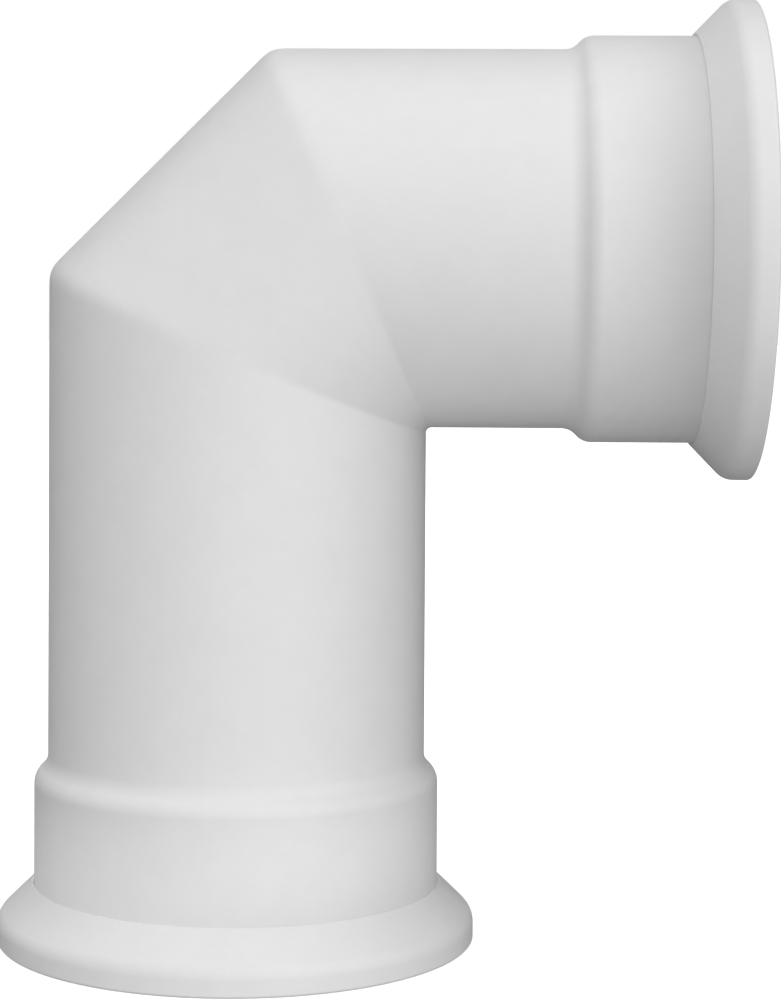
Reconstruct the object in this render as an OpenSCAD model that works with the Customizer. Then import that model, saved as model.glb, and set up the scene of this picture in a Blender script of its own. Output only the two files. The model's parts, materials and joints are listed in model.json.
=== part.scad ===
// Concentric flue elbow, 90 degrees: a flue duct inside an air duct, with
// a push-fit socket for each pipe at both ends. The origin is the centre
// of the lower mouth, +Z runs up the lower leg, +X towards the upper mouth.

/* [Pipes it takes] */
// Outside diameter of the air pipe, and of the shell between its sockets
air_pipe_d = 100; // [96:1:125]
// Outside diameter of the flue pipe, and of the inner duct
flue_pipe_d = 60; // [50:1:72]

/* [Reach] */
// Height of the upper leg's axis above the lower mouth
lower_reach = 186; // [155:1:400]
// Distance of the upper mouth from the lower leg's axis
upper_reach = 135; // [132:1:400]

/* [Shell] */
// Wall thickness of the shell
shell_wall = 3; // [2:0.1:4]
// Radial clearance between the air pipe and its socket
air_clearance = 0.6; // [0.3:0.05:1]
// Depth from the mouth to the stop for the air pipe
air_socket_depth = 42.4; // [34:0.1:50]
// Rounding of the step between socket and tube
step_round = 5; // [3.2:0.1:5.5]
// Height of the snap bead that holds the seal cap
bead_h = 1.2; // [0.8:0.1:1.5]

/* [Seal caps] */
// How far the rim stands out from the socket
rim_flare = 9.7; // [8:0.1:14]
// Length of the straight rim
rim_length = 6.5; // [5:0.1:8]
// Length of the cap from its face to its back edge
cap_length = 15.2; // [14.6:0.1:18]
// Wall of the cap's rim and cone
cap_wall = 2.2; // [1.6:0.1:2.6]
// Thickness of the cap's face
cap_face = 2.4; // [1.8:0.1:3]
// Thickness of the cap's back edge
cap_edge = 0.6; // [0.4:0.1:1.2]
// Clearance between the cap and the socket
cap_clearance = 0.12; // [0.05:0.01:0.3]

/* [Air seals] */
// Thickness of the seal's body between cap and socket
seal_body = 4; // [3:0.1:4.4]
// Thickness of the sealing lips
lip_t = 1.2; // [0.8:0.1:1.3]
// Length of the pressed-back lip inside the socket
lip_length = 4.6; // [3:0.1:6]

/* [Flue duct] */
// Wall thickness of the flue duct
flue_wall = 2; // [1.5:0.1:2.5]
// Radial clearance between the flue pipe and its socket
flue_clearance = 0.5; // [0.3:0.05:0.8]
// How far the flue socket's mouth lies behind the air socket's
flue_recess = 10; // [4:0.5:20]
// Depth of the flue pipe's socket
flue_socket_depth = 40; // [34:0.5:44]
// Radius of the inside of the swept bend
bend_inside = 8; // [4:0.5:12]
// Length of the spigots on the swept bend
spigot_length = 20; // [19:0.5:26]
// Gap left for the duct to grow as it warms, at each end of a spigot
growth_gap = 2; // [1:0.5:4]
// Distance from a flue socket's mouth to its seal groove
groove_start = 5; // [4:0.5:6]
// Width of the seal groove
groove_width = 8; // [7:0.5:9]
// Depth of the seal groove
groove_depth = 3.5; // [3:0.1:4]

/* [Spacers] */
// Length of a spacer along the duct
spacer_length = 12; // [8:0.5:14]
// Number of legs on a spacer
spacer_legs = 4; // [3:1:6]
// Thickness of a leg
leg_t = 1.8; // [1.2:0.1:2.5]
// Thickness of the spacer's band and feet
band_t = 1.8; // [1.2:0.1:2.5]
// Angle that each foot covers
foot_angle = 18; // [10:1:30]
// Opening through which the band clips over the duct
band_gap = 14; // [8:1:20]

/* [Hidden] */
$fn = 96;

bend_angle = 90;
mitre_angle = bend_angle / 4;   // three straight segments meet on two mitres
arc_steps = 5;                  // flats in a rounded corner of a profile
even_wall = sqrt(2) - 1;        // moves a 45 degree step so that its wall stays even
sharp = 0.4;                    // rounding left on a moulded edge
contact_gap = 0.05;             // gap between pieces that seat on each other
running_gap = 0.1;              // gap from a sealing lip to the pipe's socket bore

shell_r = air_pipe_d / 2;
shell_bore = shell_r - shell_wall;
air_bore = shell_r + air_clearance;
socket_r = air_bore + shell_wall;
air_step = socket_r - shell_r;
shell_span = 2 * (lower_reach + upper_reach);   // larger than the whole shell

rim_r = socket_r + rim_flare;
cap_bore = socket_r + cap_clearance;
cap_back_r = cap_bore + cap_edge;
socket_mouth = cap_face + seal_body;
hook_length = 3;
hook_z = cap_length - hook_length;
bead_r = socket_r + bead_h;
bead_back = hook_z - cap_clearance;
bead_top = 1;
bead_slope = 2.6;
lip_room = lip_t + 2 * running_gap + 0.2;
lip_room_end = socket_mouth + lip_length + 0.6;

flue_r = flue_pipe_d / 2;
flue_bore = flue_r - flue_wall;
flue_socket_bore = flue_r + flue_clearance;
flue_socket_r = flue_socket_bore + flue_wall;
flue_step = flue_socket_r - flue_r;
groove_r = flue_socket_bore + groove_depth;
groove_end = groove_start + groove_width;
hump_r = groove_r + flue_wall;
hump_slope = 1;
lead_in = 1;
bend_r = flue_r + bend_inside;
bend_socket_depth = spigot_length;

// Where a straight leg's parts lie, for a leg whose axis crosses at this reach
function spigot_start(reach) = reach - bend_r - spigot_length;
function sleeve_end(reach) = reach - bend_r - growth_gap;
function waist_end(reach) =
    sleeve_end(reach) - bend_socket_depth - flue_step - even_wall * flue_wall;
waist_start = flue_recess + flue_socket_depth + flue_step + even_wall * flue_wall;

// Profiles are lists of [radius, height, corner rounding]
function unit(v) = v / norm(v);
function flat(p) = [p[0], p[1]];
function turned(v, a) = [v[0] * cos(a) - v[1] * sin(a), v[0] * sin(a) + v[1] * cos(a)];
function round_corner(before, at, after, r) =
    r <= 0 ? [at] :
    let (
        u = unit(before - at),
        v = unit(after - at),
        half = acos(max(-1, min(1, u * v))) / 2,
        centre = at + unit(u + v) * r / sin(half),
        start = at + u * r / tan(half) - centre,
        end = at + v * r / tan(half) - centre,
        turn = sign(start[0] * end[1] - start[1] * end[0]) * (180 - 2 * half)
    )
    [for (i = [0:arc_steps]) centre + turned(start, turn * i / arc_steps)];
function rounded(points) =
    let (n = len(points))
    [for (i = [0:n - 1])
        each round_corner(
            flat(points[(i + n - 1) % n]), flat(points[i]), flat(points[(i + 1) % n]),
            points[i][2]
        )];
function reversed(list) = [for (i = [len(list) - 1:-1:0]) list[i]];

// A leg's own frame has its mouth at the origin and +Z running into the elbow
module at_lower() {
    children();
}

module at_upper() {
    translate([upper_reach, 0, lower_reach]) rotate([0, -bend_angle, 0])
        rotate([0, 0, 180]) children();
}

module turned_profile(points) {
    rotate_extrude() polygon(rounded(points));
}

module half_space() {
    translate([-shell_span / 2, -shell_span / 2, 0]) cube(shell_span);
}

// Wall of one straight leg with its socket, from the mouth to past its mitre
module shell_leg(reach) {
    step_start = air_socket_depth + even_wall * shell_wall;
    turned_profile([
        [air_bore + lip_room, socket_mouth, sharp],
        [socket_r, socket_mouth, sharp],
        [socket_r, bead_back - bead_top - bead_slope, 0],
        [bead_r, bead_back - bead_top, sharp],
        [bead_r, bead_back, sharp / 2],
        [socket_r, bead_back, 0],
        [socket_r, step_start, step_round],
        [shell_r, step_start + air_step, step_round],
        [shell_r, reach, 0],
        [shell_bore, reach, 0],
        [shell_bore, air_socket_depth + air_step, step_round + shell_wall],
        [air_bore, air_socket_depth, max(step_round - shell_wall, 0)],
        [air_bore, lip_room_end + lip_room, sharp],
        [air_bore + lip_room, lip_room_end, sharp]
    ]);
}

// Plain tube from a little below the inner corner's height to past the mitre
module shell_tube(reach) {
    start = reach - shell_r - shell_wall;
    translate([0, 0, start]) difference() {
        cylinder(h = reach - start, r = shell_r);
        translate([0, 0, -1]) cylinder(h = reach - start + 2, r = shell_bore);
    }
}

// Cuts a piece of leg on its mitre, with the inner corner as the origin
module cut_on_mitre(reach) {
    difference() {
        rotate([0, -mitre_angle, 0]) translate([-shell_r, 0, shell_r - reach]) children();
        half_space();
    }
}

// A leg and, mirrored on its mitre, half of the slanted segment that joins the legs
module mitred_leg(reach) {
    difference() {
        translate([shell_r, 0, reach - shell_r]) rotate([0, mitre_angle, 0]) {
            cut_on_mitre(reach) shell_leg(reach);
            mirror([0, 0, 1]) cut_on_mitre(reach) shell_tube(reach);
        }
        translate([shell_r, 0, reach - shell_r]) rotate([0, bend_angle / 2, 0]) half_space();
    }
}

module outer_elbow() {
    color("whitesmoke") {
        at_lower() mitred_leg(lower_reach);
        at_upper() mitred_leg(upper_reach);
    }
}

// Flared cap that snaps over the socket's bead and traps the air seal
module seal_cap() {
    cone = (rim_r - cap_back_r) / (cap_length - rim_length);
    inside_r = rim_r - cap_wall;
    hook_r = bead_r + 2 * cap_clearance;
    turned_profile([
        [air_bore, 0, 2 * sharp],
        [rim_r, 0, 2 * sharp],
        [rim_r, rim_length, step_round],
        [cap_back_r, cap_length, sharp / 2],
        [cap_bore, cap_length, sharp / 2],
        [cap_bore, hook_z, sharp / 2],
        [hook_r, hook_z, 0],
        [inside_r, hook_z - (inside_r - hook_r) / cone, step_round - cap_wall],
        [inside_r, cap_face, sharp],
        [air_bore, cap_face, sharp / 2]
    ]);
}

module lower_seal_cap() {
    color("whitesmoke") at_lower() seal_cap();
}

module upper_seal_cap() {
    color("whitesmoke") at_upper() seal_cap();
}

// Lip seal for the air pipe, its lip pressed back into the socket as a pipe leaves it
module air_seal() {
    lip_r = air_bore + running_gap;
    turned_profile([
        [lip_r + sharp, cap_face, sharp / 2],
        [rim_r - cap_wall - contact_gap, cap_face, sharp],
        [rim_r - cap_wall - contact_gap, socket_mouth, seal_body / 2],
        [lip_r + lip_t, socket_mouth, 0],
        [lip_r + lip_t, socket_mouth + lip_length - lip_t, sharp],
        [lip_r, socket_mouth + lip_length, sharp / 2],
        [lip_r, socket_mouth - 1, 0]
    ]);
}

module lower_air_seal() {
    color("dimgray") at_lower() air_seal();
}

module upper_air_seal() {
    color("dimgray") at_upper() air_seal();
}

// One socket of the flue duct, from its mouth; side is +1 if it opens downwards
function socket_inside(mouth, side, depth) = [
    [flue_socket_bore + lead_in, mouth, 0],
    [flue_socket_bore, mouth + side * 2 * lead_in, 0],
    [flue_socket_bore, mouth + side * groove_start, sharp / 2],
    [groove_r, mouth + side * groove_start, 2 * sharp],
    [groove_r, mouth + side * groove_end, 2 * sharp],
    [flue_socket_bore, mouth + side * groove_end, sharp / 2],
    [flue_socket_bore, mouth + side * depth, sharp],
    [flue_bore, mouth + side * (depth + flue_step), 2 * sharp]
];

function socket_outside(mouth, side, depth) =
    let (stop = depth + even_wall * flue_wall, round = 3 * sharp)
    [
        [flue_socket_r, mouth, sharp],
        [flue_socket_r, mouth + side * (groove_start - flue_wall - hump_slope), round / 2],
        [hump_r, mouth + side * (groove_start - flue_wall + hump_slope), round],
        [hump_r, mouth + side * (groove_end + flue_wall - hump_slope), round],
        [flue_socket_r, mouth + side * (groove_end + flue_wall + hump_slope), round / 2],
        [flue_socket_r, mouth + side * stop, round],
        [flue_r, mouth + side * (stop + flue_step), round]
    ];

// Straight duct with the flue pipe's socket at the mouth and one for the bend inside
module flue_sleeve(reach) {
    end = sleeve_end(reach);
    turned_profile(concat(
        socket_outside(flue_recess, 1, flue_socket_depth),
        reversed(socket_outside(end, -1, bend_socket_depth)),
        socket_inside(end, -1, bend_socket_depth),
        reversed(socket_inside(flue_recess, 1, flue_socket_depth))
    ));
}

module lower_flue_sleeve() {
    color("lightgray") at_lower() flue_sleeve(lower_reach);
}

module upper_flue_sleeve() {
    color("lightgray") at_upper() flue_sleeve(upper_reach);
}

// Plain end of the swept bend, with a lead-in on its edge
module spigot(reach) {
    start = spigot_start(reach);
    turned_profile([
        [flue_bore, start, sharp],
        [flue_r - lead_in, start, sharp],
        [flue_r, start + 3 * lead_in, 0],
        [flue_r, start + spigot_length, 0],
        [flue_bore, start + spigot_length, 0]
    ]);
}

module inner_bend() {
    color("lightgray") {
        at_lower() spigot(lower_reach);
        translate([bend_r, 0, lower_reach - bend_r]) rotate([90, 0, 0])
            rotate([0, 0, bend_angle]) rotate_extrude(angle = bend_angle)
                translate([bend_r, 0]) difference() {
                    circle(r = flue_r);
                    circle(r = flue_bore);
                }
        at_upper() spigot(upper_reach);
    }
}

// Twin-lip seal that sits in a flue socket's groove
module flue_seal(lip_r) {
    back = groove_r - contact_gap;
    root = back - lip_t - sharp;
    start = contact_gap;
    end = groove_width - contact_gap;
    middle = groove_width / 2;
    turned_profile([
        [back, start, sharp],
        [back, end, sharp],
        [root, end, 0],
        [lip_r, end, sharp / 2],
        [lip_r, end - lip_t, sharp / 2],
        [root, middle, sharp],
        [lip_r, middle, sharp / 2],
        [lip_r, middle - lip_t, sharp / 2],
        [root, start, 0]
    ]);
}

module mouth_seal() {
    translate([0, 0, flue_recess + groove_start])
        flue_seal(flue_socket_bore + running_gap);
}

module bend_seal(reach) {
    translate([0, 0, sleeve_end(reach) - groove_start]) mirror([0, 0, 1])
        flue_seal(flue_r + contact_gap);
}

module lower_bend_seal() {
    color("dimgray") at_lower() bend_seal(lower_reach);
}

module upper_bend_seal() {
    color("dimgray") at_upper() bend_seal(upper_reach);
}

module lower_flue_seal() {
    color("dimgray") at_lower() mouth_seal();
}

module upper_flue_seal() {
    color("dimgray") at_upper() mouth_seal();
}

module ring(outside, inside) {
    difference() {
        circle(r = outside);
        circle(r = inside);
    }
}

// Clip-on band with legs that hold the flue duct central in the shell
module spacer(reach) {
    band_in = flue_r + contact_gap;
    band_out = band_in + band_t;
    foot_out = shell_bore - contact_gap;
    foot_in = foot_out - band_t;
    step = 360 / spacer_legs;
    translate([0, 0, (waist_start + waist_end(reach) - spacer_length) / 2])
        linear_extrude(height = spacer_length) {
            difference() {
                ring(band_out, band_in);
                translate([0, -band_gap / 2]) square([shell_r, band_gap]);
            }
            for (i = [0:spacer_legs - 1]) rotate(step * (i + 0.5)) {
                intersection() {
                    ring(foot_in + band_t / 2, band_out - band_t / 2);
                    translate([0, -leg_t / 2]) square([shell_r, leg_t]);
                }
                intersection() {
                    ring(foot_out, foot_in);
                    polygon([
                        [0, 0],
                        shell_r * [cos(foot_angle / 2), -sin(foot_angle / 2)] * 1.1,
                        shell_r * [cos(foot_angle / 2), sin(foot_angle / 2)] * 1.1
                    ]);
                }
            }
        }
}

module lower_spacer() {
    color("gainsboro") at_lower() spacer(lower_reach);
}

module upper_spacer() {
    color("gainsboro") at_upper() spacer(upper_reach);
}

outer_elbow();
lower_seal_cap();
upper_seal_cap();
lower_air_seal();
upper_air_seal();
inner_bend();
lower_flue_sleeve();
upper_flue_sleeve();
lower_bend_seal();
upper_bend_seal();
lower_flue_seal();
upper_flue_seal();
lower_spacer();
upper_spacer();
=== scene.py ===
"""Visual model of a concentric flue elbow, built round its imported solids.

Every pipe-like piece is one closed outline carried along the elbow's path by
one Geometry Nodes tree. The path runs up the lower leg, round the bend and
out along the upper leg, and a distance along it is measured from the lower
mouth. Lengths are in metres.
"""
import json
import math

import bmesh
import bpy
from bpy.props import (
    FloatProperty,
    FloatVectorProperty,
    IntProperty,
    PointerProperty,
)
from mathutils import Matrix, Vector


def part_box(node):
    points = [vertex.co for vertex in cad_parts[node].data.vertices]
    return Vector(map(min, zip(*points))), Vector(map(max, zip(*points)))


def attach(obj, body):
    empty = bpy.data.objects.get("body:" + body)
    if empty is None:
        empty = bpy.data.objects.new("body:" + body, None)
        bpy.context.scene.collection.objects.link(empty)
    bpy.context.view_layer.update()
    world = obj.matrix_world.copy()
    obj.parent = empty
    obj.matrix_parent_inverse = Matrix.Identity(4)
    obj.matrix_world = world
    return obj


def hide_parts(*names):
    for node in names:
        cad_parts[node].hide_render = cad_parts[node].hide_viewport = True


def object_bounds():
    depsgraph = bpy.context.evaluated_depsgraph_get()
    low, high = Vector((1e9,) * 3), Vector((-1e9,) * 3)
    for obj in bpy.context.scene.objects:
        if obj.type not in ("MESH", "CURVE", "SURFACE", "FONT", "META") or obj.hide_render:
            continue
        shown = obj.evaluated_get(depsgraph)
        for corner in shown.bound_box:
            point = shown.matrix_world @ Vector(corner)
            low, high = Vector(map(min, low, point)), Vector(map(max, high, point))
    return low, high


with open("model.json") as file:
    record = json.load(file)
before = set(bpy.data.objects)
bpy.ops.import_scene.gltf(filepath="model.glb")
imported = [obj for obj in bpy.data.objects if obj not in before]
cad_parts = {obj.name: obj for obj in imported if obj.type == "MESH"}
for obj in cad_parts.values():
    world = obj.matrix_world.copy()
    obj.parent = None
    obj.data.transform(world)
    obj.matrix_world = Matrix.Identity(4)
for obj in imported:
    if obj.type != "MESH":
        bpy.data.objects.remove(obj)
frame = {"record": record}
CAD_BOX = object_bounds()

bl_info = {
    "name": "Flue Elbow",
    "version": (1, 0, 0),
    "blender": (4, 5, 0),
    "location": "View3D > Sidebar > Flue Elbow",
    "description": "Builds the looks of a concentric flue elbow",
    "category": "Object",
}

MM = 0.001
MOUNTS = {mount["name"]: mount for mount in frame["record"]["mounts"]}
AIR_BORE = MOUNTS["lower_air_mouth"]["dims"]["r_mm"] * MM
FLUE_SOCKET_BORE = MOUNTS["lower_flue_socket"]["dims"]["r_mm"] * MM
LOWER_REACH = MOUNTS["upper_air_mouth"]["pos_m"][2]
UPPER_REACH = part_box("upper_seal_cap")[1].x
RIM_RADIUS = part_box("lower_seal_cap")[1].y
CAP_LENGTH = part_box("lower_seal_cap")[1].z

SHARP = 0.4 * MM                # rounding left on a moulded edge
CONTACT_GAP = 0.05 * MM         # gap between pieces that seat on each other
EVEN_WALL = math.sqrt(2) - 1    # moves a 45 degree step so that its wall stays even
BEND_STATIONS = 120             # steps of an outline through the bend
AROUND = 128                    # steps round a pipe
SMALL_STEP = math.radians(9)    # turn of each flat in a small rounding
LARGE_STEP = math.radians(4)    # turn of each flat in a large rounding
LARGE_ROUND = 1.5 * MM          # roundings from this size on are large
SUPPORT = 0.3 * MM              # distance from a rounding to its support ring
LEAD_IN = 1 * MM                # taper at the mouth of a duct's socket and on a spigot
HOOK = 3 * MM                   # length of a cap's hook behind the snap bead
LIP_LENGTH = 3.4 * MM           # how far an air seal's lip runs past the shell's mouth
LIP_ROOM_LENGTH = 5.2 * MM      # length of the recess that takes that lip
LEG_BLEND = 1.2 * MM            # blend where a spacer's leg meets its band and foot
FLOOR_HALF = 6.0                # half the width of the floor sheet


# Sizes and colours

class ShellSizes(bpy.types.PropertyGroup):
    """Sizes of the white shell and of the air pipe's sockets"""

    lower_reach: FloatProperty(
        name="Lower Reach", description="Height of the upper axis above the lower mouth",
        default=LOWER_REACH, min=0.15, unit="LENGTH")
    upper_reach: FloatProperty(
        name="Upper Reach", description="Distance of the upper mouth from the lower axis",
        default=UPPER_REACH, min=0.13, unit="LENGTH")
    tube_radius: FloatProperty(
        name="Tube Radius", description="Outside radius of the shell between its sockets",
        default=50 * MM, unit="LENGTH")
    wall: FloatProperty(
        name="Wall", description="Wall thickness of the shell",
        default=3 * MM, unit="LENGTH")
    air_bore: FloatProperty(
        name="Air Socket Bore", description="Inside radius of the air pipe's socket",
        default=AIR_BORE, unit="LENGTH")
    socket_depth: FloatProperty(
        name="Air Socket Depth", description="Depth from the mouth to the air pipe's stop",
        default=42.4 * MM, unit="LENGTH")
    step_round: FloatProperty(
        name="Step Rounding", description="Rounding of the step between socket and tube",
        default=5 * MM, unit="LENGTH")
    bead_height: FloatProperty(
        name="Bead Height", description="Height of the snap bead under the seal cap",
        default=1.2 * MM, unit="LENGTH")
    crease_softness: FloatProperty(
        name="Crease Softness", description="How far the mitres' creases are rounded off",
        default=3.6 * MM, min=0.1 * MM, unit="LENGTH")
    inner_radius: FloatProperty(
        name="Inner Corner Radius", description="Rounding where the legs meet inside the bend",
        default=1.5 * MM, min=0.5 * MM, unit="LENGTH")


class CapSizes(bpy.types.PropertyGroup):
    """Sizes of the flared seal caps and the air seals in them"""

    rim_radius: FloatProperty(
        name="Rim Radius", description="Outside radius of the rim",
        default=RIM_RADIUS, unit="LENGTH")
    rim_length: FloatProperty(
        name="Rim Length", description="Length of the straight rim",
        default=6.5 * MM, unit="LENGTH")
    length: FloatProperty(
        name="Cap Length", description="Length of the cap from its face to its back edge",
        default=CAP_LENGTH, unit="LENGTH")
    wall: FloatProperty(
        name="Cap Wall", description="Wall of the cap's rim and cone",
        default=2.2 * MM, unit="LENGTH")
    face: FloatProperty(
        name="Face Thickness", description="Thickness of the cap's face",
        default=2.4 * MM, unit="LENGTH")
    back_edge: FloatProperty(
        name="Back Edge", description="Thickness of the cap's back edge",
        default=0.6 * MM, unit="LENGTH")
    clearance: FloatProperty(
        name="Clearance", description="Gap between the cap and the socket",
        default=0.12 * MM, unit="LENGTH")
    seal_body: FloatProperty(
        name="Seal Body", description="Thickness of the air seal between cap and socket",
        default=4 * MM, unit="LENGTH")
    lip_thickness: FloatProperty(
        name="Lip Thickness", description="Thickness of a sealing lip",
        default=1.2 * MM, unit="LENGTH")
    lip_reach: FloatProperty(
        name="Lip Reach", description="How far an empty socket's lip stands inside the bore",
        default=2 * MM, unit="LENGTH")


class DuctSizes(bpy.types.PropertyGroup):
    """Sizes of the inner flue duct"""

    pipe_radius: FloatProperty(
        name="Duct Radius", description="Outside radius of the flue duct",
        default=30 * MM, unit="LENGTH")
    wall: FloatProperty(
        name="Duct Wall", description="Wall thickness of the flue duct",
        default=2 * MM, unit="LENGTH")
    socket_bore: FloatProperty(
        name="Flue Socket Bore", description="Inside radius of the flue pipe's socket",
        default=FLUE_SOCKET_BORE, unit="LENGTH")
    recess: FloatProperty(
        name="Recess", description="How far the flue socket lies behind the mouth",
        default=10 * MM, unit="LENGTH")
    socket_depth: FloatProperty(
        name="Flue Socket Depth", description="Depth of the flue pipe's socket",
        default=40 * MM, unit="LENGTH")
    bend_inside: FloatProperty(
        name="Bend Inside", description="Radius of the inside of the swept bend",
        default=8 * MM, unit="LENGTH")
    spigot: FloatProperty(
        name="Spigot Length", description="Length of the plain ends of the swept bend",
        default=20 * MM, unit="LENGTH")
    growth_gap: FloatProperty(
        name="Growth Gap", description="Gap left at each spigot for the duct to grow",
        default=2 * MM, unit="LENGTH")
    groove_start: FloatProperty(
        name="Groove Start", description="Distance from a socket's mouth to its seal groove",
        default=5 * MM, unit="LENGTH")
    groove_width: FloatProperty(
        name="Groove Width", description="Width of the seal groove",
        default=8 * MM, unit="LENGTH")
    groove_depth: FloatProperty(
        name="Groove Depth", description="Depth of the seal groove",
        default=3.5 * MM, unit="LENGTH")
    lip_reach: FloatProperty(
        name="Flue Lip Reach", description="How far the flue seal's lips stand inside the bore",
        default=1.4 * MM, unit="LENGTH")


class SpacerSizes(bpy.types.PropertyGroup):
    """Sizes of the clip-on spacers"""

    length: FloatProperty(
        name="Spacer Length", description="Length of a spacer along the duct",
        default=12 * MM, unit="LENGTH")
    legs: IntProperty(
        name="Legs", description="Number of legs on a spacer", default=4, min=3, max=6)
    leg: FloatProperty(
        name="Leg Thickness", description="Thickness of a leg",
        default=1.8 * MM, unit="LENGTH")
    band: FloatProperty(
        name="Band Thickness", description="Thickness of the band and the feet",
        default=1.8 * MM, unit="LENGTH")
    foot: FloatProperty(
        name="Foot Angle", description="Angle that each foot covers",
        default=math.radians(18), subtype="ANGLE")
    gap: FloatProperty(
        name="Band Gap", description="Opening through which the band clips over the duct",
        default=14 * MM, unit="LENGTH")


class ElbowColours(bpy.types.PropertyGroup):
    """Colours of the moulded pieces"""

    shell: FloatVectorProperty(
        name="White Plastic", description="Colour of the shell and the caps",
        subtype="COLOR", size=3, min=0, max=1, default=(0.86, 0.86, 0.857))
    duct: FloatVectorProperty(
        name="Flue Plastic", description="Colour of the flue duct",
        subtype="COLOR", size=3, min=0, max=1, default=(0.40, 0.41, 0.41))
    seal: FloatVectorProperty(
        name="Seal Rubber", description="Colour of the seals",
        subtype="COLOR", size=3, min=0, max=1, default=(0.022, 0.022, 0.024))
    spacer: FloatVectorProperty(
        name="Spacer Plastic", description="Colour of the spacers",
        subtype="COLOR", size=3, min=0, max=1, default=(0.66, 0.65, 0.60))


class StudioSettings(bpy.types.PropertyGroup):
    """Light on the stage"""

    evenness: FloatProperty(
        name="Surround Light", description="Light that comes evenly from all round",
        default=-0.115)
    lean: FloatVectorProperty(
        name="Light Lean", description="Direction and amount by which the light leans",
        subtype="XYZ", size=3, default=(-0.674, -2.19, 1.256))
    spread: FloatVectorProperty(
        name="Light Spread", description="Light added along both ways of each axis",
        subtype="XYZ", size=3, default=(0.007, -1.153, 0.202))
    slant: FloatVectorProperty(
        name="Light Slant", description="Light added between X and Y, Y and Z, Z and X",
        subtype="XYZ", size=3, default=(-1.97, 1.664, 0.554))
    dimmest: FloatProperty(
        name="Dimmest", description="Least light that comes from any direction",
        default=0.1, min=0)
    side_power: FloatProperty(
        name="Side Light", description="Power of the soft light low on the right",
        default=0.25, min=0)
    fill_power: FloatProperty(
        name="Fill Light", description="Power of the soft light behind the elbow",
        default=6, min=0)
    floor_glow: FloatProperty(
        name="Floor Glow", description="Light that the floor sheet itself gives off",
        default=0.65, min=0)


def sizes():
    """The scene's size groups: shell, cap, duct and spacer."""
    scene = bpy.context.scene
    return scene.elbow_shell, scene.elbow_cap, scene.elbow_duct, scene.elbow_spacer


# Node trees

class Field:
    """A value inside a node tree, so that a rule can be written as a formula."""

    def __init__(self, tree, socket):
        self.tree, self.socket = tree, socket

    def math(self, operation, *others):
        node = self.tree.nodes.new("ShaderNodeMath")
        node.operation = operation
        for slot, value in zip(node.inputs, (self, *others)):
            plug(self.tree, value, slot)
        return Field(self.tree, node.outputs[0])

    def __add__(self, other):
        return self.math("ADD", other)

    def __sub__(self, other):
        return self.math("SUBTRACT", other)

    def __mul__(self, other):
        return self.math("MULTIPLY", other)

    def __truediv__(self, other):
        return self.math("DIVIDE", other)


def plug(tree, value, slot):
    """Sets or links an input of a node."""
    if isinstance(value, Field):
        value = value.socket
    if isinstance(value, bpy.types.NodeSocket):
        tree.links.new(value, slot)
    else:
        slot.default_value = value


def add_node(tree, kind, inputs=None, **settings):
    """A new node with its settings made and its inputs set or linked, by name or place."""
    node = tree.nodes.new(kind)
    for name, value in settings.items():
        setattr(node, name, value)
    for name, value in (inputs or {}).items():
        plug(tree, value, node.inputs[name])
    return node


def named_inputs(tree, **kinds):
    """Gives a geometry tree its named inputs and returns them as fields."""
    tree.interface.new_socket("Geometry", in_out="OUTPUT", socket_type="NodeSocketGeometry")
    tree.interface.new_socket("Geometry", in_out="INPUT", socket_type="NodeSocketGeometry")
    names = {key: key.replace("_", " ").title() for key in kinds}
    for key, kind in kinds.items():
        tree.interface.new_socket(
            names[key], in_out="INPUT", socket_type="NodeSocket" + kind)
    entry = tree.nodes.new("NodeGroupInput")
    fields = {key: Field(tree, entry.outputs[name]) for key, name in names.items()}
    fields["geometry"] = entry.outputs["Geometry"]
    return fields


def finish_tree(tree, geometry, material):
    """Ends a geometry tree: real faces, smooth shading and a material."""
    real = add_node(tree, "GeometryNodeRealizeInstances", {"Geometry": geometry})
    smooth = add_node(tree, "GeometryNodeSetShadeSmooth", {"Geometry": real.outputs[0]})
    painted = add_node(tree, "GeometryNodeSetMaterial",
                       {"Geometry": smooth.outputs[0], "Material": material})
    exit_node = tree.nodes.new("NodeGroupOutput")
    tree.links.new(painted.outputs[0], exit_node.inputs[0])


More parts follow.
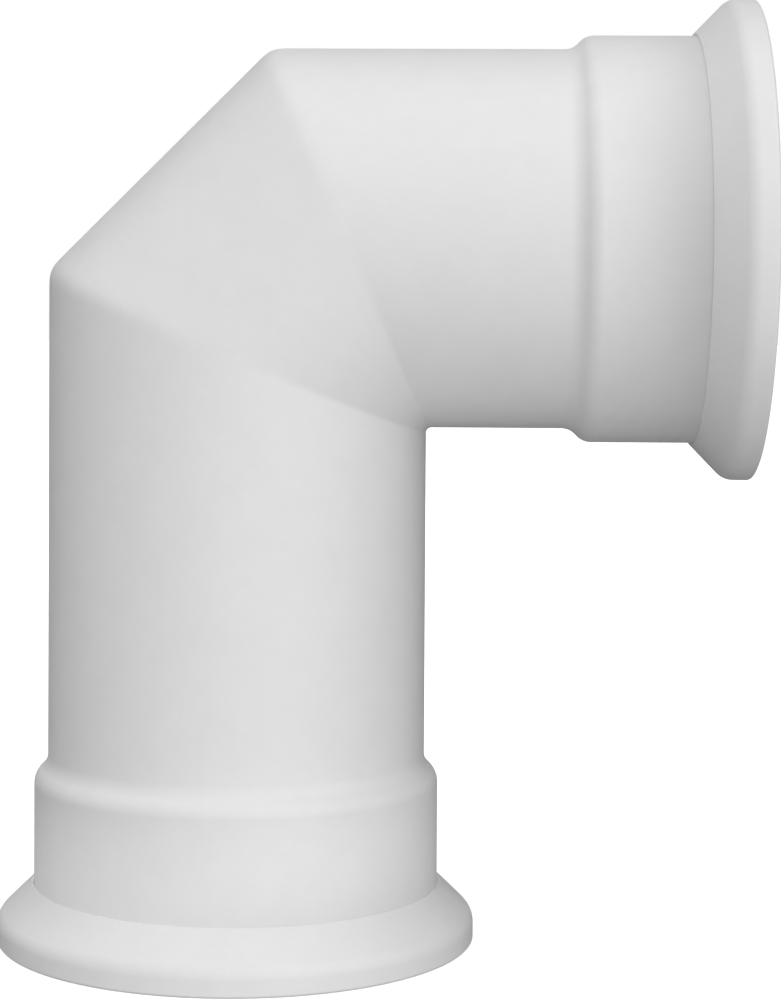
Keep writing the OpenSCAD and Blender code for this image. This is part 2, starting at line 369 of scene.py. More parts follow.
def pipe_tree():
    """Carries a closed outline of radius (X) and distance along the path (Y) round the elbow."""
    tree = bpy.data.node_groups.new("Pipe Round The Elbow", "GeometryNodeTree")
    put = named_inputs(
        tree, lower_reach="Float", axis_to_pivot="Float", mitred="Float",
        crease_softness="Float", middle_rise="Float", around="Int", material="Material")

    # a sheet of one row for each outline point and one column for each step round
    count = Field(tree, add_node(
        tree, "GeometryNodeAttributeDomainSize", {"Geometry": put["geometry"]},
    ).outputs["Point Count"])
    columns = put["around"] + 1
    sheet = add_node(tree, "GeometryNodeMeshGrid", {
        "Size X": 1.0, "Size Y": 1.0, "Vertices X": count + 1, "Vertices Y": columns})
    index = Field(tree, tree.nodes.new("GeometryNodeInputIndex").outputs[0])
    row = ((index + 0.5) / columns).math("FLOOR")
    column = index - row * columns
    point = row - ((row + 0.5) / count).math("FLOOR") * count
    position = tree.nodes.new("GeometryNodeInputPosition")
    outline = sample_index(tree, put["geometry"], position.outputs[0], point + 0.25)
    parts = add_node(tree, "ShaderNodeSeparateXYZ", {"Vector": outline})
    radius, along = Field(tree, parts.outputs["X"]), Field(tree, parts.outputs["Y"])
    turn = column * math.tau / put["around"]

    # the plane of the cross-section stands on the leg, then swings round the pivot
    pivot = put["axis_to_pivot"]
    start = put["lower_reach"] - pivot
    bend = pivot * (math.pi / 2)
    into = along - start
    swing = (into / bend).math("MAXIMUM", 0.0).math("MINIMUM", 1.0) * (math.pi / 2)
    below = into.math("MINIMUM", 0.0)
    above = (into - bend).math("MAXIMUM", 0.0)

    # the outer wall: round on a swept pipe, or flat on three mitred segments
    far, near = pivot + radius, pivot - radius
    steep = 0.2

    def reach_of(angle):
        return angle.math("COSINE").math("MAXIMUM", steep)

    soft = put["crease_softness"]
    first = far / reach_of(swing)
    middle = (far + put["middle_rise"]) / reach_of(swing - math.pi / 4)
    last = far / reach_of(swing - math.pi / 2)
    mitred = first.math("SMOOTH_MIN", middle, soft).math("SMOOTH_MIN", last, soft)
    outer = far + (mitred - far) * put["mitred"]

    swung = (outer + near) * 0.5 + (outer - near) * 0.5 * turn.math("COSINE")
    place = add_node(tree, "ShaderNodeCombineXYZ", {
        "X": pivot - swung * swing.math("COSINE") + above,
        "Y": radius * turn.math("SINE"),
        "Z": start + swung * swing.math("SINE") + below})
    placed = add_node(tree, "GeometryNodeSetPosition", {
        "Geometry": sheet.outputs["Mesh"], "Position": place.outputs[0]})
    closed = add_node(tree, "GeometryNodeMergeByDistance", {
        "Geometry": placed.outputs[0], "Distance": 1e-6})
    finish_tree(tree, closed.outputs[0], put["material"])
    return tree


def sample_index(tree, geometry, value, index):
    """A vector read from the point of that number."""
    node = tree.nodes.new("GeometryNodeSampleIndex")
    node.data_type = "FLOAT_VECTOR"
    plug(tree, geometry, node.inputs["Geometry"])
    plug(tree, value, next(s for s in node.inputs if s.name == "Value" and s.enabled))
    plug(tree, index, node.inputs["Index"])
    return next(s for s in node.outputs if s.enabled)


def legs_tree():
    """Sets copies of a leg evenly round an axis and joins them to a band."""
    tree = bpy.data.node_groups.new("Legs Round A Band", "GeometryNodeTree")
    put = named_inputs(tree, leg_count="Int", leg="Object", material="Material")
    points = add_node(tree, "GeometryNodePoints", {"Count": put["leg_count"]})
    index = Field(tree, tree.nodes.new("GeometryNodeInputIndex").outputs[0])
    angle = (index + 0.5) * math.tau / put["leg_count"]
    turn = add_node(tree, "ShaderNodeCombineXYZ", {"Z": angle})
    leg = add_node(tree, "GeometryNodeObjectInfo", {"Object": put["leg"]})
    copies = add_node(tree, "GeometryNodeInstanceOnPoints", {
        "Points": points.outputs[0], "Instance": leg.outputs["Geometry"],
        "Rotation": turn.outputs[0]})
    joined = tree.nodes.new("GeometryNodeJoinGeometry")
    tree.links.new(copies.outputs[0], joined.inputs[0])
    tree.links.new(put["geometry"], joined.inputs[0])
    finish_tree(tree, joined.outputs[0], put["material"])
    return tree


def applied(name, mesh, tree, inputs):
    """Runs a geometry tree on a mesh and returns the result as a plain object."""
    piece = bpy.data.objects.new(name, mesh)
    bpy.context.scene.collection.objects.link(piece)
    modifier = piece.modifiers.new(tree.name, "NODES")
    modifier.node_group = tree
    for item in tree.interface.items_tree:
        if item.in_out == "INPUT" and item.name in inputs:
            modifier[item.identifier] = inputs[item.name]
    graph = bpy.context.evaluated_depsgraph_get()
    made = bpy.data.meshes.new_from_object(piece.evaluated_get(graph), depsgraph=graph)
    piece.modifiers.clear()
    piece.data = made
    made.name = name
    bpy.data.meshes.remove(mesh)
    return piece


def check_closed(piece):
    """Stops the script if a piece's skin is open or inside out."""
    skin = bmesh.new()
    skin.from_mesh(piece.data)
    loose = sum(not edge.is_manifold for edge in skin.edges)
    volume = skin.calc_volume(signed=True)
    skin.free()
    if loose or volume <= 0:
        raise RuntimeError(f"{piece.name}: {loose} open edges, volume {volume:.3g}")


# Outlines: closed lists of corners (radius, distance from a mouth, rounding)

def rounded(corners):
    """Replaces each corner by an arc of its rounding, with a support point beside it."""
    points = []
    count = len(corners)
    for i, (radius, along, rounding) in enumerate(corners):
        at = Vector((radius, along))
        before = Vector(corners[i - 1][:2]) - at
        after = Vector(corners[(i + 1) % count][:2]) - at
        if rounding <= 0:
            points.append(at)
            continue
        between = before.angle(after)
        inset = rounding / math.tan(between / 2)
        centre = at + (before.normalized() + after.normalized()).normalized() * (
            rounding / math.sin(between / 2))
        first = at + before.normalized() * inset
        last = at + after.normalized() * inset
        sweep = (first - centre).angle_signed(last - centre)
        flat = LARGE_STEP if rounding >= LARGE_ROUND else SMALL_STEP
        steps = max(3, math.ceil(abs(sweep) / flat))
        arc = [centre + Matrix.Rotation(-sweep * n / steps, 2) @ (first - centre)
               for n in range(steps + 1)]
        support = min(SUPPORT, rounding)
        if before.length - inset > 3 * support:
            points.append(first + before.normalized() * support)
        points += arc
        if after.length - inset > 3 * support:
            points.append(last + after.normalized() * support)
    return points


def divided(points, start, length, stations):
    """Adds evenly spaced points to the stretches of an outline that run through the bend."""
    result = []
    for i, at in enumerate(points):
        after = points[(i + 1) % len(points)]
        result.append(at)
        if length <= 0 or abs(after.y - at.y) < length / stations:
            continue
        shares = [(start + length * n / stations - at.y) / (after.y - at.y)
                  for n in range(stations + 1)]
        inside = sorted(share for share in shares if 1e-3 < share < 1 - 1e-3)
        result += [at.lerp(after, share) for share in inside]
    return result


def turned_outwards(points):
    """Runs an outline up its outer wall, so that its faces point outwards."""
    area = sum(a.x * b.y - b.x * a.y for a, b in zip(points, points[1:] + points[:1]))
    return points if area > 0 else points[::-1]


class Path:
    """The elbow's path for pieces that turn about a pivot at this distance from the axes."""

    def __init__(self, axis_to_pivot):
        shell = sizes()[0]
        self.pivot = axis_to_pivot
        self.start = shell.lower_reach - axis_to_pivot
        self.bend = axis_to_pivot * math.pi / 2
        self.total = self.start + self.bend + shell.upper_reach - axis_to_pivot

    def on_leg(self, corners, leg):
        """Corners measured from a leg's mouth, moved to distances along the path."""
        if leg == "lower":
            return list(corners)
        return [(radius, self.total - along, rounding) for radius, along, rounding in corners]

    def through(self, outer, inner):
        """One wall that runs through both legs, from its outer and inner corners in a leg."""
        return (self.on_leg(outer, "lower") + self.on_leg(outer, "upper")[::-1]
                + self.on_leg(inner, "upper") + self.on_leg(inner, "lower")[::-1])


def pipe_piece(name, corners, path, material, mitred=False):
    """A piece made by carrying an outline along the path."""
    shell = sizes()[0]
    points = turned_outwards(rounded(corners))
    points = divided(points, path.start, path.bend, BEND_STATIONS)
    mesh = bpy.data.meshes.new(name + "_outline")
    mesh.from_pydata([(p.x, p.y, 0) for p in points], [], [])
    tree = bpy.data.node_groups.get("Pipe Round The Elbow") or pipe_tree()
    inner_radius = path.pivot - shell.tube_radius
    piece = applied(name, mesh, tree, {
        "Lower Reach": shell.lower_reach, "Axis To Pivot": path.pivot,
        "Mitred": float(mitred), "Crease Softness": shell.crease_softness,
        "Middle Rise": inner_radius * EVEN_WALL, "Around": AROUND, "Material": material})
    check_closed(piece)
    return piece


def shell_path():
    shell = sizes()[0]
    return Path(shell.tube_radius + shell.inner_radius)


def settle(piece, slot, *nodes):
    """Lets a finished piece stand for its CAD nodes on the elbow's one body."""
    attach(piece, "root")
    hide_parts(*nodes)


# Materials

def finish_material(name):
    """A new material and its tree, shader and object coordinates."""
    material = bpy.data.materials.new(name)
    material.use_nodes = True
    tree = material.node_tree
    shader = tree.nodes["Principled BSDF"]
    coordinates = tree.nodes.new("ShaderNodeTexCoord").outputs["Object"]
    return material, tree, shader, coordinates


def noise(tree, coordinates, feature, detail=3.0, roughness=0.55, stretch=None):
    """Noise whose features have that size in metres, as a field from 0 to 1."""
    if stretch:
        mapping = add_node(tree, "ShaderNodeMapping", {"Vector": coordinates, "Scale": stretch})
        coordinates = mapping.outputs[0]
    node = add_node(tree, "ShaderNodeTexNoise", {
        "Vector": coordinates, "Scale": 1 / feature, "Detail": detail,
        "Roughness": roughness})
    return Field(tree, node.outputs[0])


def spread(field, low, high, to_low, to_high):
    """Maps a field's range on to another, without going past its ends."""
    node = add_node(field.tree, "ShaderNodeMapRange", {
        "Value": field, "From Min": low, "From Max": high,
        "To Min": to_low, "To Max": to_high})
    return Field(field.tree, node.outputs[0])


def tinted(tree, colour, share, amount):
    """A colour that darkens by that amount where the share is 1."""
    darker = [channel * (1 - amount) for channel in colour]
    mix = add_node(tree, "ShaderNodeMix", {"Factor": share}, data_type="RGBA")
    colour_slots = [slot for slot in mix.inputs if slot.type == "RGBA"]
    colour_slots[0].default_value = (*colour, 1)
    colour_slots[1].default_value = (*darker, 1)
    return next(slot for slot in mix.outputs if slot.type == "RGBA")


def relief(tree, layers):
    """Stacks bump layers of (height field, height in metres) and returns the normal."""
    normal = None
    for height, depth in layers:
        inputs = {"Height": height, "Distance": depth, "Strength": 1.0}
        if normal:
            inputs["Normal"] = normal
        normal = add_node(tree, "ShaderNodeBump", inputs).outputs[0]
    return normal


def satin_white(colour):
    """Moulded white plastic: a fine grain, a faint orange peel, slow sink and scuffs."""
    material, tree, shader, coordinates = finish_material("satin white plastic")
    grain = noise(tree, coordinates, 0.35 * MM, 2.0)
    peel = noise(tree, coordinates, 2.4 * MM, 3.0, 0.6)
    sink = noise(tree, coordinates, 28 * MM, 1.0, 0.4)
    handling = noise(tree, coordinates, 6 * MM, 4.0, 0.6)
    scuffs = spread(noise(tree, coordinates, 3 * MM, 5.0, 0.7, stretch=(1, 1, 0.12)),
                    0.62, 0.74, 0.0, 1.0)
    cloud = spread(noise(tree, coordinates, 9 * MM, 6.0, 0.75), 0.3, 0.7, 0.0, 1.0)
    plug(tree, tinted(tree, colour, cloud * 0.8 + scuffs * 0.2, 0.045),
         shader.inputs["Base Color"])
    plug(tree, spread(handling, 0.3, 0.7, 0.40, 0.48) + scuffs * 0.05,
         shader.inputs["Roughness"])
    plug(tree, relief(tree, [(sink, 0.10 * MM), (peel, 0.025 * MM), (grain, 0.008 * MM)]),
         shader.inputs["Normal"])
    shader.inputs["IOR"].default_value = 1.49
    return material


def grey_flue(colour):
    """Moulded flue plastic: satin, with faint draw lines along the duct."""
    material, tree, shader, coordinates = finish_material("grey flue plastic")
    grain = noise(tree, coordinates, 0.5 * MM, 2.0)
    flow = noise(tree, coordinates, 5 * MM, 3.0, 0.6, stretch=(1, 1, 0.08))
    cloud = spread(noise(tree, coordinates, 20 * MM, 3.0), 0.3, 0.7, 0.0, 1.0)
    plug(tree, tinted(tree, colour, cloud, 0.08), shader.inputs["Base Color"])
    plug(tree, spread(flow, 0.3, 0.7, 0.36, 0.48), shader.inputs["Roughness"])
    plug(tree, relief(tree, [(flow, 0.03 * MM), (grain, 0.01 * MM)]),
         shader.inputs["Normal"])
    shader.inputs["IOR"].default_value = 1.49
    return material


def matt_rubber(colour):
    """Seal rubber: matt, finely textured, with a pale bloom in patches."""
    material, tree, shader, coordinates = finish_material("seal rubber")
    grain = noise(tree, coordinates, 0.25 * MM, 3.0)
    bloom = spread(noise(tree, coordinates, 4 * MM, 5.0, 0.65), 0.45, 0.75, 0.0, 1.0)
    plug(tree, tinted(tree, colour, bloom, -0.9), shader.inputs["Base Color"])
    plug(tree, spread(grain, 0.3, 0.7, 0.62, 0.78), shader.inputs["Roughness"])
    plug(tree, relief(tree, [(grain, 0.012 * MM)]), shader.inputs["Normal"])
    shader.inputs["Specular IOR Level"].default_value = 0.4
    return material


def natural_plastic(colour):
    """Uncoloured spacer plastic: slightly milky, with flow marks."""
    material, tree, shader, coordinates = finish_material("natural spacer plastic")
    grain = noise(tree, coordinates, 0.4 * MM, 2.0)
    flow = noise(tree, coordinates, 3 * MM, 3.0, 0.6, stretch=(1, 1, 0.3))
    plug(tree, tinted(tree, colour, spread(flow, 0.3, 0.7, 0.0, 1.0), 0.06),
         shader.inputs["Base Color"])
    plug(tree, spread(flow, 0.3, 0.7, 0.38, 0.5), shader.inputs["Roughness"])
    plug(tree, relief(tree, [(grain, 0.01 * MM)]), shader.inputs["Normal"])
    shader.inputs["Subsurface Weight"].default_value = 0.15
    shader.inputs["Subsurface Scale"].default_value = 1.0 * MM
    return material


MATERIALS = {
    "satin white plastic": (satin_white, "shell"),
    "grey flue plastic": (grey_flue, "duct"),
    "seal rubber": (matt_rubber, "seal"),
    "natural spacer plastic": (natural_plastic, "spacer"),
}


def material_of(name):
    """The named finish in its scene colour, made on first use."""
    make, colour = MATERIALS[name]
    return bpy.data.materials.get(name) or make(
        tuple(getattr(bpy.context.scene.elbow_colours, colour)))


# Profiles of the pieces, from a mouth inwards

def lip_room(cap):
    """Depth of the recess behind the mouth that takes the air seal's lip."""
    return cap.lip_thickness + 0.4 * MM


def shell_outer(shell, cap):
    """Outer wall of the shell in one leg: socket with its snap bead, step and tube."""
    socket = shell.air_bore + shell.wall
    mouth = cap.face + cap.seal_body
    bead_top, bead_slope = 1 * MM, 2.6 * MM
    bead_back = cap.length - HOOK - cap.clearance
    bead = socket + shell.bead_height
    step = shell.socket_depth + EVEN_WALL * shell.wall
    return [
        (shell.air_bore + lip_room(cap), mouth, SHARP),
        (socket, mouth, SHARP),
        (socket, bead_back - bead_top - bead_slope, 0),
        (bead, bead_back - bead_top, SHARP),
        (bead, bead_back, SHARP / 2),
        (socket, bead_back, 0),
        (socket, step, shell.step_round),
        (shell.tube_radius, step + socket - shell.tube_radius, shell.step_round),
    ]


def shell_inner(shell, cap):
    """Bore of the shell in one leg: room for the lip, pipe socket, stop and tube."""
    bore = shell.tube_radius - shell.wall
    room = lip_room(cap)
    room_end = cap.face + cap.seal_body + LIP_ROOM_LENGTH
    stop_back = shell.socket_depth + shell.air_bore - bore
    return [
        (shell.air_bore + room, room_end, SHARP),
        (shell.air_bore, room_end + room, SHARP),
        (shell.air_bore, shell.socket_depth, shell.step_round - shell.wall),
        (bore, stop_back, shell.step_round - shell.wall),
    ]


def cap_profile(shell, cap):
    """Flared cap: face, straight rim, cone and the hook behind the bead."""
    back = shell.air_bore + shell.wall + cap.clearance
    edge = back + cap.back_edge
    inside = cap.rim_radius - cap.wall
    cone = (cap.rim_radius - edge) / (cap.length - cap.rim_length)
    hook_at = cap.length - HOOK
    hook = shell.air_bore + shell.wall + shell.bead_height + 2 * cap.clearance
    return [
        (shell.air_bore, 0, 2 * SHARP),
        (cap.rim_radius, 0, 2 * SHARP),
        (cap.rim_radius, cap.rim_length, shell.step_round),
        (edge, cap.length, SHARP / 2),
        (back, cap.length, SHARP / 2),
        (back, hook_at, SHARP / 2),
        (hook, hook_at, 0),
        (inside, hook_at - (inside - hook) / cone, shell.step_round - cap.wall),
        (inside, cap.face, SHARP),
        (shell.air_bore, cap.face, SHARP / 2),
    ]


def air_seal_profile(shell, cap):
    """Air seal: a flat body under the cap and one lip that leans into an empty socket."""
    mouth = cap.face + cap.seal_body
    outside = cap.rim_radius - cap.wall - CONTACT_GAP
    root = shell.air_bore + 0.1 * MM
    tip = shell.air_bore - cap.lip_reach
    lip = cap.lip_thickness
    lip_end = mouth + LIP_LENGTH
    return [
        (root + SHARP, cap.face, SHARP / 2),
        (outside, cap.face, SHARP),
        (outside, mouth, cap.seal_body / 2),
        (root + 1.3 * lip, mouth, SHARP),
        (tip + lip * 0.7, lip_end, SHARP),
        (tip, lip_end, SHARP / 2),
        (root - 0.2 * MM, cap.face + 1.4 * lip, 1.0 * MM),
    ]


def flue_socket_inner(duct, mouth, side, depth):
    """Inside of one flue socket from its mouth: lead-in, seal groove and pipe stop."""
    bore = duct.socket_bore
    groove = bore + duct.groove_depth
    groove_end = duct.groove_start + duct.groove_width
    inside = duct.pipe_radius - duct.wall
    step = bore + duct.wall - duct.pipe_radius
    return [(radius, mouth + side * along, rounding) for radius, along, rounding in [
        (bore + LEAD_IN, 0, SHARP / 2),
        (bore, 2 * LEAD_IN, SHARP),
        (bore, duct.groove_start, SHARP / 2),
        (groove, duct.groove_start, 2 * SHARP),
        (groove, groove_end, 2 * SHARP),
        (bore, groove_end, SHARP / 2),
        (bore, depth, SHARP),
        (inside, depth + step, 2 * SHARP),
    ]]


def flue_socket_outer(duct, mouth, side, depth):
    """Outside of one flue socket from its mouth: the hump over the groove and the step."""
    outside = duct.socket_bore + duct.wall
    hump = outside + duct.groove_depth
    slope = 1 * MM
    groove_end = duct.groove_start + duct.groove_width
    stop = depth + EVEN_WALL * duct.wall
    return [(radius, mouth + side * along, rounding) for radius, along, rounding in [
        (outside, 0, SHARP),
        (outside, duct.groove_start - duct.wall - slope, 1.5 * SHARP),
        (hump, duct.groove_start - duct.wall + slope, 3 * SHARP),
        (hump, groove_end + duct.wall - slope, 3 * SHARP),
        (outside, groove_end + duct.wall + slope, 1.5 * SHARP),
        (outside, stop, 3 * SHARP),
        (duct.pipe_radius, stop + outside - duct.pipe_radius, 3 * SHARP),
    ]]


def sleeve_end(duct, reach):
    """Distance from a leg's mouth to the inner end of its flue sleeve."""
    return reach - duct.pipe_radius - duct.bend_inside - duct.growth_gap


def sleeve_profile(duct, reach):
    """Flue sleeve: a socket at the mouth and another for the bend's spigot."""
    end = sleeve_end(duct, reach)
    return (flue_socket_outer(duct, duct.recess, 1, duct.socket_depth)
            + flue_socket_outer(duct, end, -1, duct.spigot)[::-1]
            + flue_socket_inner(duct, end, -1, duct.spigot)
            + flue_socket_inner(duct, duct.recess, 1, duct.socket_depth)[::-1])


def flue_seal_profile(duct, lip, mouth, side, tip):
    """Twin-lip seal in a flue socket's groove, its lips leaning away from the mouth."""
    back = duct.socket_bore + duct.groove_depth - CONTACT_GAP
    root = back - lip - SHARP
    start = duct.groove_start + CONTACT_GAP
    end = duct.groove_start + duct.groove_width - CONTACT_GAP
    middle = duct.groove_start + duct.groove_width / 2
    lean = 0.5 * lip
    return [(radius, mouth + side * along, rounding) for radius, along, rounding in [
        (back, start, SHARP),
        (back, end, SHARP),
        (root, end, SHARP / 2),
        (tip, end - CONTACT_GAP, SHARP / 2),
        (tip, end - lip + CONTACT_GAP, SHARP / 2),
        (root, middle + lean, SHARP),
        (tip, middle + lean / 2, SHARP / 2),
        (tip, middle + lean / 2 - lip, SHARP / 2),
        (root, start, SHARP / 2),
    ]]


# Operators: one for each piece or group of like pieces

class ELBOW_OT_shell(bpy.types.Operator):
    """Build the mitred white shell with its two sockets"""
    bl_idname = "elbow.shell"
    bl_label = "Shell"

    def execute(self, context):
        shell, cap, _, _ = sizes()
        path = shell_path()
        corners = path.through(shell_outer(shell, cap), shell_inner(shell, cap))
        piece = pipe_piece("shell_moulding", corners, path,
                           material_of("satin white plastic"), mitred=True)
        settle(piece, "white_plastic", "outer_elbow")
        return {"FINISHED"}


class ELBOW_OT_caps(bpy.types.Operator):
    """Build the flared seal cap at each mouth"""
    bl_idname = "elbow.caps"
    bl_label = "Seal Caps"

    def execute(self, context):
        shell, cap, _, _ = sizes()
        path = shell_path()
        for leg in ("lower", "upper"):
            corners = path.on_leg(cap_profile(shell, cap), leg)
            piece = pipe_piece(f"{leg}_cap_ring", corners, path,
                               material_of("satin white plastic"))
            settle(piece, "white_plastic", f"{leg}_seal_cap")
        return {"FINISHED"}


class ELBOW_OT_air_seals(bpy.types.Operator):
    """Build the lip seal under each cap"""
    bl_idname = "elbow.air_seals"
    bl_label = "Air Seals"

    def execute(self, context):
        shell, cap, _, _ = sizes()
        path = shell_path()
        for leg in ("lower", "upper"):
            corners = path.on_leg(air_seal_profile(shell, cap), leg)
            piece = pipe_piece(f"{leg}_air_lip_seal", corners, path,
                               material_of("seal rubber"))
            settle(piece, "seal_rubber", f"{leg}_air_seal")
        return {"FINISHED"}


class ELBOW_OT_ducts(bpy.types.Operator):
    """Build the flue duct: the swept bend and a sleeve in each leg"""
    bl_idname = "elbow.ducts"
    bl_label = "Flue Duct"

    def execute(self, context):
        shell, _, duct, _ = sizes()
        path = shell_path()
        grey = material_of("grey flue plastic")
        # known fault: a sleeve runs past the start of the shell's turn, so its inner end curls
        for leg, reach in (("lower", shell.lower_reach), ("upper", shell.upper_reach)):
            corners = path.on_leg(sleeve_profile(duct, reach), leg)
            piece = pipe_piece(f"{leg}_sleeve_duct", corners, path, grey)
            settle(piece, "flue_plastic", f"{leg}_flue_sleeve")
        bend_path = Path(duct.pipe_radius + duct.bend_inside)
        inside = duct.pipe_radius - duct.wall
        ends = (bend_path.start - duct.spigot,
                bend_path.start + bend_path.bend + duct.spigot)
        corners = [
            (duct.pipe_radius - LEAD_IN, ends[0], SHARP),
            (duct.pipe_radius, ends[0] + 3 * LEAD_IN, SHARP),
            (duct.pipe_radius, ends[1] - 3 * LEAD_IN, SHARP),
            (duct.pipe_radius - LEAD_IN, ends[1], SHARP),
            (inside, ends[1], SHARP),
            (inside, ends[0], SHARP),
        ]
        piece = pipe_piece("swept_bend_duct", corners, bend_path, grey)
        settle(piece, "flue_plastic", "inner_bend")
        return {"FINISHED"}


class ELBOW_OT_flue_seals(bpy.types.Operator):
    """Build the twin-lip seals of the flue duct"""
    bl_idname = "elbow.flue_seals"
    bl_label = "Flue Seals"

    def execute(self, context):
        shell, cap, duct, _ = sizes()
        path = shell_path()
        rubber = material_of("seal rubber")
        # known fault: the bend seals curl with the ends of the sleeves
        for leg, reach in (("lower", shell.lower_reach), ("upper", shell.upper_reach)):
            places = {
                "flue": (duct.recess, 1, duct.socket_bore - duct.lip_reach),
                "bend": (sleeve_end(duct, reach), -1, duct.pipe_radius + CONTACT_GAP),
            }
            for kind, (mouth, side, tip) in places.items():
                profile = flue_seal_profile(duct, cap.lip_thickness, mouth, side, tip)
                piece = pipe_piece(f"{leg}_{kind}_lip_seal", path.on_leg(profile, leg),
                                   path, rubber)
                settle(piece, "seal_rubber", f"{leg}_{kind}_seal")
        return {"FINISHED"}


def soft_plate(name, outline, length):
    """A plate of that outline in X and Y, extruded along Z, with its edges rounded."""
    skin = bmesh.new()
    face = skin.faces.new([skin.verts.new((x, y, -length / 2)) for x, y in outline])
    grown = bmesh.ops.extrude_face_region(skin, geom=[face])
    moved = [item for item in grown["geom"] if isinstance(item, bmesh.types.BMVert)]
    bmesh.ops.translate(skin, verts=moved, vec=(0, 0, length))
    bmesh.ops.recalc_face_normals(skin, faces=skin.faces)
    ends = [edge for edge in skin.edges
            if abs(edge.verts[0].co.z - edge.verts[1].co.z) < length / 2]
    bmesh.ops.bevel(skin, geom=ends, offset=0.3 * MM, segments=3, profile=0.5,
                    affect="EDGES")
    mesh = bpy.data.meshes.new(name)
    skin.to_mesh(mesh)
    skin.free()
    return mesh


def arc(radius, first, last, steps):
    """Points on an arc, both ends included."""
    return [(radius * math.cos(first + (last - first) * n / steps),
             radius * math.sin(first + (last - first) * n / steps))
            for n in range(steps + 1)]


class ELBOW_OT_spacers(bpy.types.Operator):
    """Build the clip-on spacers that hold the flue duct central"""
    bl_idname = "elbow.spacers"
    bl_label = "Spacers"

    def execute(self, context):
        shell, _, duct, spacer = sizes()
        band_in = duct.pipe_radius + CONTACT_GAP
        band_out = band_in + spacer.band
        foot_out = shell.tube_radius - shell.wall - CONTACT_GAP
        foot_in = foot_out - spacer.band
        opening = math.asin(spacer.gap / 2 / band_in)
        band = soft_plate(
            "band",
            arc(band_out, opening, math.tau - opening, 96)
            + arc(band_in, math.tau - opening, opening, 96),
            spacer.length)
        foot, blend = spacer.foot / 2, LEG_BLEND
        half = spacer.leg / 2
        leg_foot = math.asin((half + blend) / foot_in)
        leg_band = math.asin((half + blend) / band_out)
        root = math.cos(math.asin(half / band_out)) * band_out
        side = [(foot_in - blend, half), (root + blend, half)]
        leg_outline = (
            arc(foot_out, -foot, foot, 12)
            + arc(foot_in, foot, leg_foot, 6)
            + side
            + [(band_out * math.cos(leg_band), half + blend), (band_in + 0.3 * MM, half),
               (band_in + 0.3 * MM, -half), (band_out * math.cos(leg_band), -half - blend)]
            + [(x, -y) for x, y in reversed(side)]
            + arc(foot_in, -leg_foot, -foot, 6))
        leg = bpy.data.objects.new("spacer_leg", soft_plate("leg", leg_outline, spacer.length))
        tree = legs_tree()
        for name, reach in (("lower", shell.lower_reach), ("upper", shell.upper_reach)):
            piece = applied(f"{name}_spacer_clip", band.copy(), tree, {
                "Leg Count": spacer.legs, "Leg": leg,
                "Material": material_of("natural spacer plastic")})
            step = duct.socket_bore + duct.wall - duct.pipe_radius + EVEN_WALL * duct.wall
            waist = (duct.recess + duct.socket_depth + step,
                     sleeve_end(duct, reach) - duct.spigot - step)
            piece.data.transform(leg_frame(name) @ Matrix.Translation((0, 0, sum(waist) / 2)))
            settle(piece, "spacer_plastic", f"{name}_spacer")
        bpy.data.objects.remove(leg)
        return {"FINISHED"}


def leg_frame(leg):
    """Frame of a leg: origin at its mouth, Z running into the elbow."""
    if leg == "lower":
        return Matrix.Identity(4)
    shell = sizes()[0]
    return (Matrix.Translation((shell.upper_reach, 0, shell.lower_reach))
            @ Matrix.Rotation(-math.pi / 2, 4, "Y") @ Matrix.Rotation(math.pi, 4, "Z"))


def studio_world(studio):
    """Soft light that varies smoothly with its direction, before a plain white surround."""
    world = bpy.data.worlds.new("studio")
    bpy.context.scene.world = world
    world.use_nodes = True
    tree = world.node_tree
    tree.nodes.clear()
    direction = tree.nodes.new("ShaderNodeTexCoord").outputs["Generated"]

    def product(a, b, operation="MULTIPLY", output=0):
        node = add_node(tree, "ShaderNodeVectorMath", {0: a, 1: b}, operation=operation)
        return node.outputs[output]

    def share(vector, amounts):
        return Field(tree, product(vector, tuple(amounts), "DOT_PRODUCT", "Value"))

    parts = add_node(tree, "ShaderNodeSeparateXYZ", {0: direction}).outputs
    turned = add_node(tree, "ShaderNodeCombineXYZ", {0: parts[1], 1: parts[2], 2: parts[0]})
    amount = (share(direction, studio.lean)
              + share(product(direction, direction), studio.spread)
              + share(product(direction, turned.outputs[0]), studio.slant)
              + studio.evenness).math("SMOOTH_MAX", studio.dimmest, 0.3)
    light = add_node(tree, "ShaderNodeBackground", {
        "Color": (1, 1, 1, 1), "Strength": amount})
    backdrop = add_node(tree, "ShaderNodeBackground", {
        "Color": (1, 1, 1, 1), "Strength": 1.0})
    seen = tree.nodes.new("ShaderNodeLightPath").outputs["Is Camera Ray"]
    mix = add_node(tree, "ShaderNodeMixShader", {
        0: seen, 1: light.outputs[0], 2: backdrop.outputs[0]})
    add_node(tree, "ShaderNodeOutputWorld", {"Surface": mix.outputs[0]})


def studio_floor(studio, height):
    """A wide pale sheet under the elbow."""
    half = FLOOR_HALF
    mesh = bpy.data.meshes.new("floor")
    mesh.from_pydata([(-half, -half, height), (half, -half, height),
                      (half, half, height), (-half, half, height)], [], [(0, 1, 2, 3)])
    floor = bpy.data.objects.new("floor", mesh)
    bpy.context.scene.collection.objects.link(floor)
    material, _, shader, _ = finish_material("pale floor")
    shader.inputs["Base Color"].default_value = (0.8, 0.8, 0.8, 1)
    shader.inputs["Roughness"].default_value = 1.0
    shader.inputs["Specular IOR Level"].default_value = 0.0
    shader.inputs["Emission Color"].default_value = (1, 1, 1, 1)
    shader.inputs["Emission Strength"].default_value = studio.floor_glow
    mesh.materials.append(material)
    floor.visible_diffuse = False
    floor.visible_glossy = False


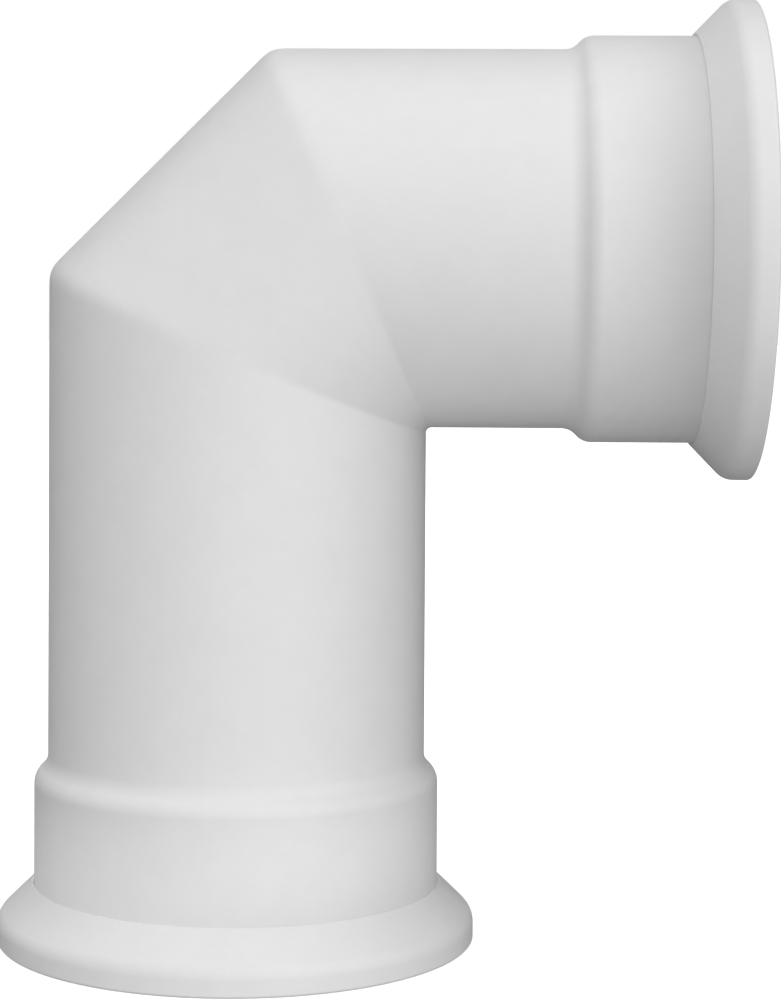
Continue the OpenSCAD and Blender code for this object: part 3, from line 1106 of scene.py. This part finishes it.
def soft_light(name, place, target, size, power):
    """A square soft light that looks at a target and leaves no highlight."""
    light = bpy.data.lights.new(name, "AREA")
    light.shape = "SQUARE"
    light.size = size
    light.energy = power
    lamp = bpy.data.objects.new(name, light)
    bpy.context.scene.collection.objects.link(lamp)
    lamp.location = place
    lamp.rotation_euler = (Vector(target) - Vector(place)).to_track_quat("-Z", "Y").to_euler()
    lamp.visible_glossy = False


def elbow_camera(shell):
    """A long lens in front of the elbow, a little to its right and below the upper leg."""
    data = bpy.data.cameras.new("camera")
    data.lens = 93.09
    data.sensor_width = 36
    data.shift_x, data.shift_y = 0.0405, -0.16
    data.clip_end = 50
    camera = bpy.data.objects.new("camera", data)
    bpy.context.scene.collection.objects.link(camera)
    yaw, pitch, roll = (math.radians(a) for a in (1.686, -1.422, -0.324))
    camera.location = (0.04987, -0.68631, shell.lower_reach - 0.00998)
    camera.rotation_euler = (
        Matrix.Rotation(yaw, 3, "Z") @ Matrix.Rotation(pitch, 3, "X")
        @ Matrix.Rotation(roll, 3, "Y") @ Matrix.Rotation(math.pi / 2, 3, "X")).to_euler()
    bpy.context.scene.camera = camera


class ELBOW_OT_stage(bpy.types.Operator):
    """Set the floor, the light and the camera"""
    bl_idname = "elbow.stage"
    bl_label = "Stage"

    def execute(self, context):
        shell = sizes()[0]
        studio = context.scene.elbow_studio
        context.scene.view_settings.view_transform = "Standard"
        studio_world(studio)
        studio_floor(studio, CAD_BOX[0][2])
        soft_light("side", (0.55, -0.55, 0.05), (0.04, 0, 0.02), 0.4, studio.side_power)
        soft_light("fill", (-0.3, 1.5, 0.9), (0.04, 0, 0.15), 1.2, studio.fill_power)
        elbow_camera(shell)
        return {"FINISHED"}


class ELBOW_PT_build(bpy.types.Panel):
    """Lists the elbow's sizes and the steps that build it"""
    bl_idname = "ELBOW_PT_build"
    bl_label = "Flue Elbow"
    bl_space_type = "VIEW_3D"
    bl_region_type = "UI"
    bl_category = "Flue Elbow"

    def draw(self, context):
        for group, (kind, label) in GROUPS.items():
            box = self.layout.box()
            box.label(text=label)
            for name in kind.__annotations__:
                box.prop(getattr(context.scene, group), name)
        for step in STEPS:
            self.layout.operator(step.bl_idname)


GROUPS = {
    "elbow_shell": (ShellSizes, "Shell"),
    "elbow_cap": (CapSizes, "Caps and Air Seals"),
    "elbow_duct": (DuctSizes, "Flue Duct"),
    "elbow_spacer": (SpacerSizes, "Spacers"),
    "elbow_colours": (ElbowColours, "Colours"),
    "elbow_studio": (StudioSettings, "Studio"),
}
STEPS = (ELBOW_OT_shell, ELBOW_OT_caps, ELBOW_OT_air_seals, ELBOW_OT_ducts,
         ELBOW_OT_flue_seals, ELBOW_OT_spacers, ELBOW_OT_stage)


def register():
    for group, (kind, _) in GROUPS.items():
        bpy.utils.register_class(kind)
        setattr(bpy.types.Scene, group, PointerProperty(type=kind))
    for step in (*STEPS, ELBOW_PT_build):
        bpy.utils.register_class(step)


def unregister():
    for step in reversed((*STEPS, ELBOW_PT_build)):
        bpy.utils.unregister_class(step)
    for group, (kind, _) in reversed(GROUPS.items()):
        delattr(bpy.types.Scene, group)
        bpy.utils.unregister_class(kind)


def main():
    register()
    for step in STEPS:
        group, name = step.bl_idname.split(".")
        getattr(getattr(bpy.ops, group), name)()


if __name__ == "__main__":
    main()
